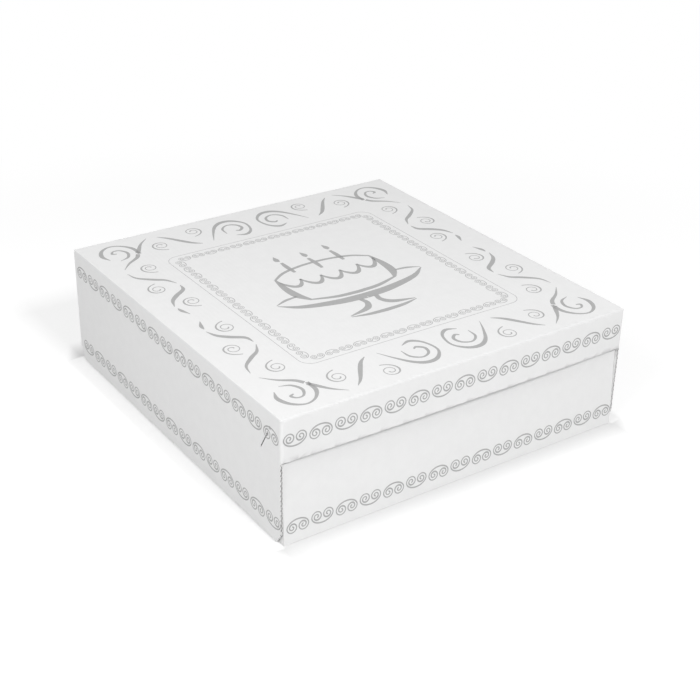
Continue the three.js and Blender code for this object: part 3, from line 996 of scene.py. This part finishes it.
def floorMaterial():
    material = bpy.data.materials.new("pale_floor")
    material.use_nodes = True
    tree = material.node_tree
    tree.nodes.clear()
    output = tree.nodes.new("ShaderNodeOutputMaterial")
    diffuse = tree.nodes.new("ShaderNodeBsdfDiffuse")
    diffuse.inputs["Color"].default_value = stageSet["floorColor"]
    seen = seenDirectly(tree)
    lift = tree.nodes.new("ShaderNodeEmission")
    coords = tree.nodes.new("ShaderNodeTexCoord")
    level = mathNode(tree, "MULTIPLY", paintedShadowShare(tree, coords.outputs["Object"]), stageSet["floorLift"])
    tree.links.new(mathNode(tree, "MULTIPLY", seen, level), lift.inputs["Strength"])
    near = tree.nodes.new("ShaderNodeAddShader")
    tree.links.new(diffuse.outputs[0], near.inputs[0])
    tree.links.new(lift.outputs[0], near.inputs[1])
    white = tree.nodes.new("ShaderNodeEmission")
    length = tree.nodes.new("ShaderNodeVectorMath")
    length.operation = "LENGTH"
    tree.links.new(coords.outputs["Object"], length.inputs[0])
    ends = (stageSet["glowStart"], stageSet["glowEnd"])
    glow = rampNode(tree, length.outputs["Value"], ends, kind="SMOOTHSTEP")
    mix = tree.nodes.new("ShaderNodeMixShader")
    tree.links.new(mathNode(tree, "MULTIPLY", glow, seen), mix.inputs["Fac"])
    tree.links.new(near.outputs[0], mix.inputs[1])
    tree.links.new(white.outputs[0], mix.inputs[2])
    tree.links.new(mix.outputs[0], output.inputs["Surface"])
    return material


def makeFloor():
    half = stageSet["floorSize"] / 2
    mesh = bpy.data.meshes.new("floor")
    corners = [(-half, -half, 0), (half, -half, 0), (half, half, 0), (-half, half, 0)]
    mesh.from_pydata(corners, [], [(0, 1, 2, 3)])
    mesh.materials.append(floorMaterial())
    floor = bpy.data.objects.new("floor", mesh)
    bpy.context.scene.collection.objects.link(floor)


def makeWorld():
    world = bpy.data.worlds.new("studio")
    world.use_nodes = True
    tree = world.node_tree
    background = tree.nodes["Background"]
    seen = seenDirectly(tree)
    seenShare = mathNode(tree, "MULTIPLY", seen, 1 - stageSet["worldLevel"])
    level = mathNode(tree, "ADD", seenShare, stageSet["worldLevel"])
    background.inputs["Color"].default_value = (1, 1, 1, 1)
    tree.links.new(level, background.inputs["Strength"])
    bpy.context.scene.world = world


def softBox(name, place, size, energy):
    light = bpy.data.lights.new(name, "AREA")
    light.shape = "SQUARE"
    light.size = size
    light.energy = energy
    lamp = bpy.data.objects.new(name, light)
    lamp.location = place
    aim = Vector(place) - Vector(stageSet["lightAim"])
    lamp.rotation_euler = aim.to_track_quat("Z", "Y").to_euler()
    bpy.context.scene.collection.objects.link(lamp)


# Camera: turned about the box's middle, in units of the box's width
cameraSet = {
    "focal": 1360.4,           # in pixels of the 700 pixel frame
    "framePixels": 700,
    "sensor": 36.0,
    "azimuth": -34.84,
    "elevation": 28.09,
    "roll": 1.186,
    "distance": 3.569,
    "right": 0.0303,
    "up": -0.0404,
    "alongY": -0.00032,        # metres
    "clip": (0.01, 50),
}


def makeCamera():
    azimuth = math.radians(cameraSet["azimuth"])
    elevation = math.radians(cameraSet["elevation"])
    roll = math.radians(cameraSet["roll"])
    flat = math.cos(elevation)
    back = Vector((math.sin(azimuth) * flat, -math.cos(azimuth) * flat, math.sin(elevation)))
    level = Vector((math.cos(azimuth), math.sin(azimuth), 0))
    rise = back.cross(level)
    right = level * math.cos(roll) + rise * math.sin(roll)
    up = rise * math.cos(roll) - level * math.sin(roll)
    unit = 2 * halfWidth
    place = Vector((0, centreY + cameraSet["alongY"], boxTop / 2))
    place += (back * cameraSet["distance"] + right * cameraSet["right"] + up * cameraSet["up"]) * unit
    data = bpy.data.cameras.new("photoView")
    data.sensor_width = cameraSet["sensor"]
    data.lens = cameraSet["focal"] * cameraSet["sensor"] / cameraSet["framePixels"]
    data.clip_start, data.clip_end = cameraSet["clip"]
    camera = bpy.data.objects.new("photoView", data)
    turn = Matrix((right, up, back)).transposed().to_4x4()
    camera.matrix_world = Matrix.Translation(place) @ turn
    bpy.context.scene.collection.objects.link(camera)
    bpy.context.scene.camera = camera


makeFloor()
makeWorld()
softBox("side", stageSet["sidePlace"], stageSet["sideSize"], stageSet["sideEnergy"])
softBox("front", stageSet["frontPlace"], stageSet["frontSize"], stageSet["frontEnergy"])
makeCamera()
bpy.context.scene.view_settings.view_transform = "Standard"
